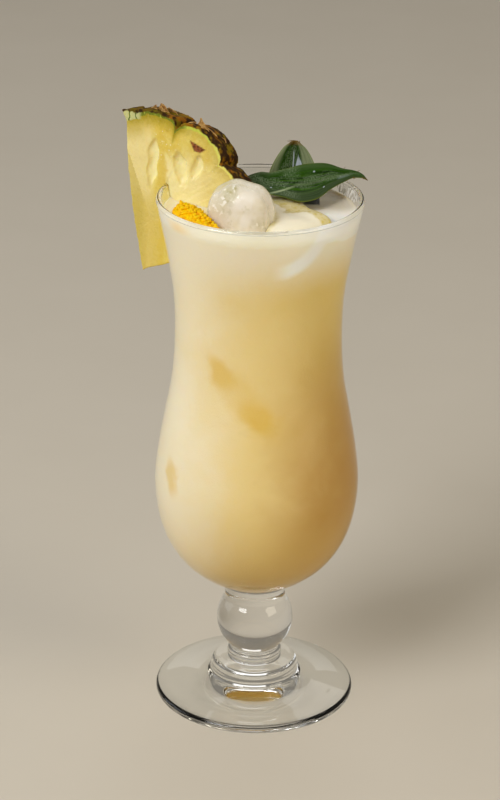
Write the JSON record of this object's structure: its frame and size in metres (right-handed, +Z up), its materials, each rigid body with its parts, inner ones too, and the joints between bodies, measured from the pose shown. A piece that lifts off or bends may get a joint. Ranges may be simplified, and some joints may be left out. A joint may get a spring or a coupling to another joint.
{
  "type": "pina colada",
  "caption": "Pina colada in a stemmed hurricane glass, with a pineapple wedge on the rim, ice, orange zest and pineapple leaves.",
  "frame": {"origin": "centre of the glass's foot, on the plane that it stands on", "axes": "+Z up along the stem; the front of the drink faces -Y; the pineapple wedge sits on the rim at the back left, towards -X and +Y"},
  "size_m": [0.0933, 0.0788, 0.2381],
  "materials": {
    "clear_glass": "clear smooth glass",
    "cream_drink": "thick cream drink, smooth and opaque, paler foam at the top",
    "pineapple": "wet pale yellow flesh with a green and brown rind",
    "cloudy_ice": "cloudy wet ice filmed with drink",
    "green_leaf": "dark green leaf with a grey bloom",
    "orange_zest": "moist orange zest"
  },
  "bodies": {
    "root": {"glass": "clear_glass", "drink": "cream_drink", "pineapple_wedge": "pineapple", "ice_front": "cloudy_ice", "ice_right": "cloudy_ice", "leaf_leaning": "green_leaf", "leaf_upright": "green_leaf", "orange_zest": "orange_zest"}
  },
  "joints": []
}
